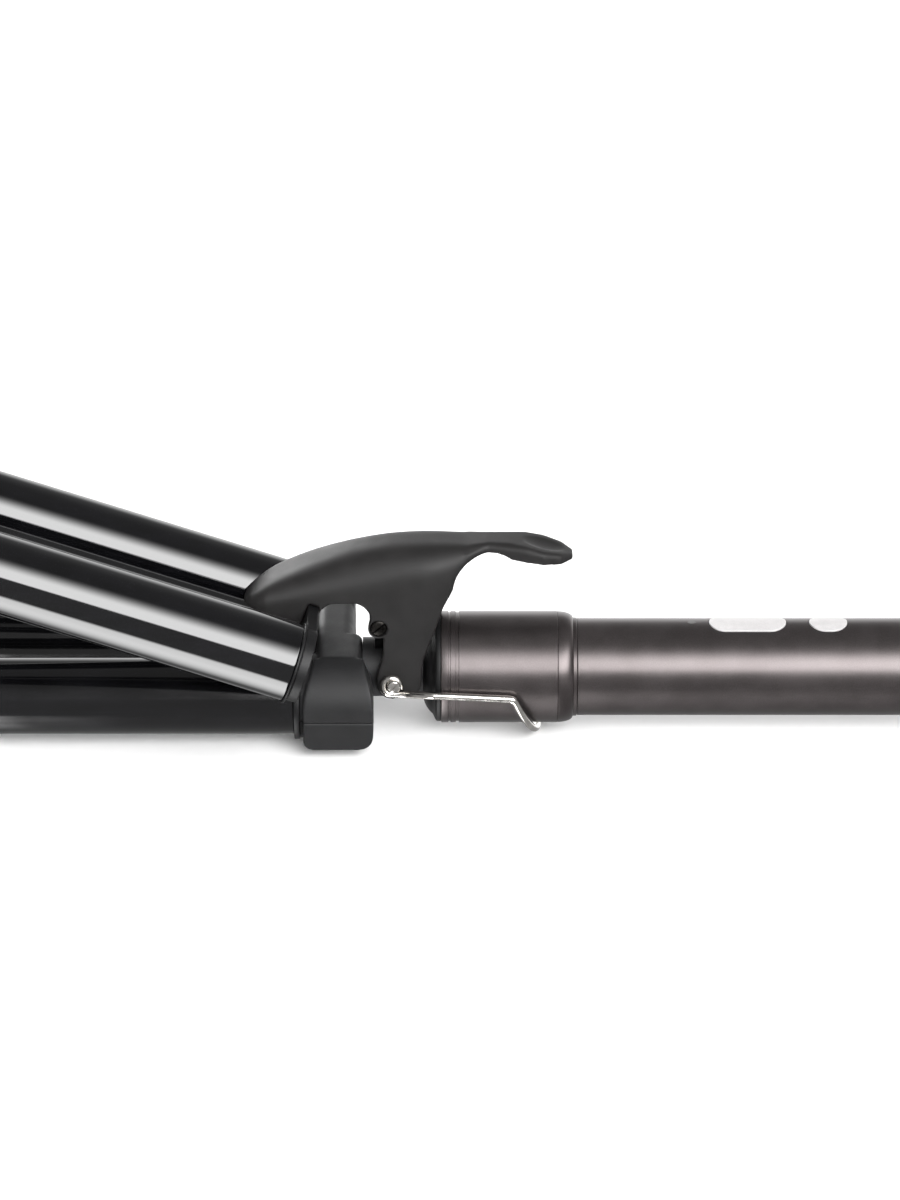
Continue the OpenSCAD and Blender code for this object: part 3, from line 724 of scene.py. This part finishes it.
class MakeStand(bpy.types.Operator):
    """Adds the folding stand, one bent wire with an eye round each pivot screw"""

    bl_idname = "waver.make_stand"
    bl_label = "Stand"

    def execute(self, context):
        size = context.scene.waver_size
        tilt = size.hoop_tilt
        eye, eye_y, hang = 2.4, 13.4, -0.35
        reach, side, drop, rise = 34.5, 17.4, -2.3, -1.7
        begin = math.asin((rise - drop) / (side * math.cos(tilt)))
        middle = reach + (drop - rise) * math.tan(tilt)
        turns = [math.radians(-372 + 282 * i / 28) for i in range(29)]
        near = [Vector((hang + eye * math.cos(t), -eye_y, eye * math.sin(t))) for t in turns]
        turns = [begin + (HALF_TURN - 2 * begin) * i / 40 for i in range(41)]
        hoop = [Vector((middle + side * math.sin(t) * math.sin(tilt), -side * math.cos(t),
                        rise - side * math.sin(t) * math.cos(tilt))) for t in turns]
        bend = [Vector((3.4, -eye_y - 0.1, -eye - 0.1)), Vector((10.5, hoop[0].y, -1.1))]
        leg = eased([near[-1], *bend, (bend[1] + hoop[0]) / 2], 1.6)[1:]
        corner = eased([leg[-1], hoop[0], hoop[2]], 1.8)[1:-1]
        half = near + leg + corner
        mirrored = [Vector((p.x, -p.y, p.z)) for p in reversed(half)]
        stand = bent_wire("folding_stand", half + hoop[2:-2] + mirrored, size.wire_radius / MM)
        settle(stand, to_frame())
        dress(stand, "stand_wire")
        return {"FINISHED"}


def slotted_screw(name, head_r, head, shank_r, shank_to, at, turn, size):
    """A screw along -Y: domed head with a slot at an angle, over a plain shank.

    The head goes from its seat to its top, which are measured from the middle of the handle.
    """
    seat, top = head
    dome, slot_depth = 0.45, size.slot_depth / MM
    outline = [(shank_to, 0), (shank_to, shank_r), (seat, shank_r), (seat, head_r - 0.1),
               (seat + 0.1, head_r), (top - dome, head_r),
               *arc(top - dome, head_r - dome, dome, 90, 15, 5), (top + 0.08, 0)]
    screw = lathe(name, outline, steps=48)
    height = top - seat
    bpy.ops.object.select_all(action="DESELECT")
    bpy.ops.mesh.primitive_cube_add(size=1)
    slot = bpy.context.object
    slot.scale = (height, 3 * head_r, size.slot_width / MM)
    slot.rotation_euler = (turn, 0, 0)
    slot.location = (top + 0.5 * height - slot_depth, 0, 0)
    bpy.ops.object.transform_apply(location=True, rotation=True, scale=True)
    cut(screw, slot)
    place = Matrix.Translation(Vector((at[0], 0, at[1])))
    settle(screw, place @ Matrix.Rotation(-HALF_TURN / 2, 4, "Z"))
    shade(screw)
    return screw


def both_sides(screw, name):
    """A screw and its mirror image on the far side, as one piece."""
    far = copy_of(screw, name + "_far")
    settle(far, Matrix.Scale(-1, 4, Vector((0, 1, 0))))
    close_up(far, 0.005)
    pair = join([screw, far], name)
    settle(pair, to_frame())
    return pair


class MakeScrews(bpy.types.Operator):
    """Adds the plated pivot screws and the blackened screws of the lever's arms"""

    bl_idname = "waver.make_screws"
    bl_label = "Screws"

    def execute(self, context):
        size = context.scene.waver_size
        outer = -node_box("pivot_screws")[0].y
        pivot = slotted_screw("pivot_screw", 1.9, (outer - 1.05, outer), 1.2, 2, (0.35, 0.45),
                              math.radians(48), size)
        dress(both_sides(pivot, "pivot_screw_pair"), "pivot_screws")

        low, high = node_box("lever_screws")
        outer, middle = -low.y, (low + high) / 2
        arm = slotted_screw("arm_screw", 2.35, (outer - 0.9, outer), 1.1, outer - 5,
                            (middle.x, middle.z), math.radians(40), size)
        pair = both_sides(arm, "arm_screw_pair")
        dress(pair, "lever_screws")
        pair.data.materials[0] = FINISH["black_screw"]
        return {"FINISHED"}


# ---- Studio


class MakeStage(bpy.types.Operator):
    """Adds the camera, the floor and the studio light"""

    bl_idname = "waver.make_stage"
    bl_label = "Stage"

    def execute(self, context):
        studio = context.scene.waver_studio
        make_camera(studio)
        make_floor()
        make_overhead(studio)
        make_room(context.scene, studio)
        context.scene.view_settings.view_transform = "Standard"
        return {"FINISHED"}


def make_camera(studio):
    """A long lens, square on to the handle's axis and looking down on it."""
    sensor = 36
    distance = studio.view_height * studio.lens / sensor
    e = studio.elevation
    up = Vector((0, math.sin(e), math.cos(e)))
    back = Vector((0, -math.cos(e), math.sin(e)))
    data = bpy.data.cameras.new("camera")
    data.lens, data.sensor_width = studio.lens, sensor
    data.clip_start, data.clip_end = 0.05, 60
    camera = bpy.data.objects.new("camera", data)
    bpy.context.scene.collection.objects.link(camera)
    camera.location = PIVOT + Vector((studio.aim_x, 0, 0)) + up * studio.aim_up + back * distance
    camera.rotation_euler = (math.pi / 2 - e, 0, 0)
    bpy.context.scene.camera = camera


def make_floor():
    """White paper under the object. Gloss shows the room instead, as over a lit sweep."""
    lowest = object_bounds()[0][2]
    bpy.ops.object.select_all(action="DESELECT")
    bpy.ops.mesh.primitive_plane_add(size=40, location=(PIVOT.x, 0, lowest - 0.05 * MM))
    floor = bpy.context.object
    floor.name = "studio_floor"
    paper = surface("white_paper", "#f3f3f3", "#f6f6f6", (0.85, 0.95), 120, 4, 0.01)
    floor.data.materials.append(paper)
    floor.visible_glossy = False
    floor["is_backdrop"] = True


def make_overhead(studio):
    """Wide overhead diffuser: lights paper and plastic evenly and leaves soft contact shadows."""
    data = bpy.data.lights.new("overhead_diffuser", "SUN")
    data.energy = studio.overhead
    data.angle = math.radians(110)
    light = bpy.data.objects.new("overhead_diffuser", data)
    bpy.context.scene.collection.objects.link(light)
    light.rotation_euler = (math.radians(8), 0, 0)
    light.visible_glossy = False


def make_room(scene, studio):
    """Room seen in gloss: a front softbox, cards, a white backdrop and a dim ceiling."""
    world = bpy.data.worlds.new("studio")
    scene.world = world
    world.use_nodes = True
    tree = world.node_tree
    way = add(tree, "ShaderNodeTexCoord").outputs["Generated"]
    axes = add(tree, "ShaderNodeSeparateXYZ", {"Vector": way}).outputs

    # Each light: its strength, then edges along which it rises from nothing to full
    lights = (
        (studio.softbox, ("Y", -0.15, -0.4), ("Z", 0.20, 0.26), ("Z", 0.9, 0.55),
         ("X", -0.034, 0.0), ("X", 0.8, 0.5)),
        (studio.card, ("Z", -0.58, -0.70), ("X", -0.1, -0.11), ("X", -0.4, -0.28),
         ("Y", 0.35, -0.5)),
        (studio.backdrop, ("Y", 0.2, 0.6), ("Z", 0.55, 0.2), ("Z", -0.5, -0.3)),
        (studio.rear_card, ("Y", 0.45, 0.8), ("X", -0.12, -0.32), ("Z", -0.1, 0.1),
         ("Z", 0.65, 0.4)),
        (0.6 * studio.room, ("Z", 0.5, 0.9)),
        (studio.room, ("Z", 0.9, 0.5)),
    )
    lit = []
    for strength, *edges in lights:
        light = add(tree, "ShaderNodeValue").outputs[0]
        light.default_value = strength
        for axis, start, end in edges:
            edge = add(tree, "ShaderNodeMapRange", {"Value": axes[axis]},
                       interpolation_type="SMOOTHSTEP", From_Min=min(start, end),
                       From_Max=max(start, end), To_Min=float(start > end),
                       To_Max=float(start < end)).outputs[0]
            light = add(tree, "ShaderNodeMath", {0: light, 1: edge},
                        operation="MULTIPLY").outputs[0]
        lit.append(light)
    total = lit[0]
    for light in lit[1:]:
        total = add(tree, "ShaderNodeMath", {0: total, 1: light}, operation="ADD").outputs[0]
    back = tree.nodes["Background"]
    tree.links.new(total, back.inputs["Strength"])
    back.inputs["Color"].default_value = (1, 1, 1, 1)


class WaverPanel(bpy.types.Panel):
    """Lists the waver's pieces in the sidebar"""

    bl_idname = "VIEW3D_PT_waver"
    bl_label = "Hair waver"
    bl_space_type = "VIEW_3D"
    bl_region_type = "UI"
    bl_category = "Waver"

    def draw(self, context):
        for operator in OPERATORS:
            self.layout.operator(operator.bl_idname)
        scene = context.scene
        for settings in (scene.waver_studio, scene.waver_size, scene.waver_finish):
            for name in settings.bl_rna.properties.keys():
                if name not in ("rna_type", "name"):
                    self.layout.prop(settings, name)


OPERATORS = (MakeFinishes, MakeBarrels, MakeTips, MakeCollars, MakeFerrule, MakeRear, MakeLever,
             MakeBracket, MakeKeys, MakeStand, MakeScrews, MakeStage)
CLASSES = (WaverStudioSettings, WaverSizeSettings, WaverFinishSettings, *OPERATORS, WaverPanel)


def register():
    for kind in CLASSES:
        bpy.utils.register_class(kind)
    bpy.types.Scene.waver_studio = PointerProperty(type=WaverStudioSettings)
    bpy.types.Scene.waver_size = PointerProperty(type=WaverSizeSettings)
    bpy.types.Scene.waver_finish = PointerProperty(type=WaverFinishSettings)


def unregister():
    del bpy.types.Scene.waver_studio
    del bpy.types.Scene.waver_size
    del bpy.types.Scene.waver_finish
    for kind in reversed(CLASSES):
        bpy.utils.unregister_class(kind)


def main():
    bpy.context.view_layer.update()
    register()
    bpy.ops.waver.make_finishes()
    bpy.ops.waver.make_barrels()
    bpy.ops.waver.make_tips()
    bpy.ops.waver.make_collars()
    bpy.ops.waver.make_ferrule()
    bpy.ops.waver.make_rear()
    bpy.ops.waver.make_lever()
    bpy.ops.waver.make_bracket()
    bpy.ops.waver.make_keys()
    bpy.ops.waver.make_stand()
    bpy.ops.waver.make_screws()
    bpy.ops.waver.make_stage()


if __name__ == "__main__":
    main()
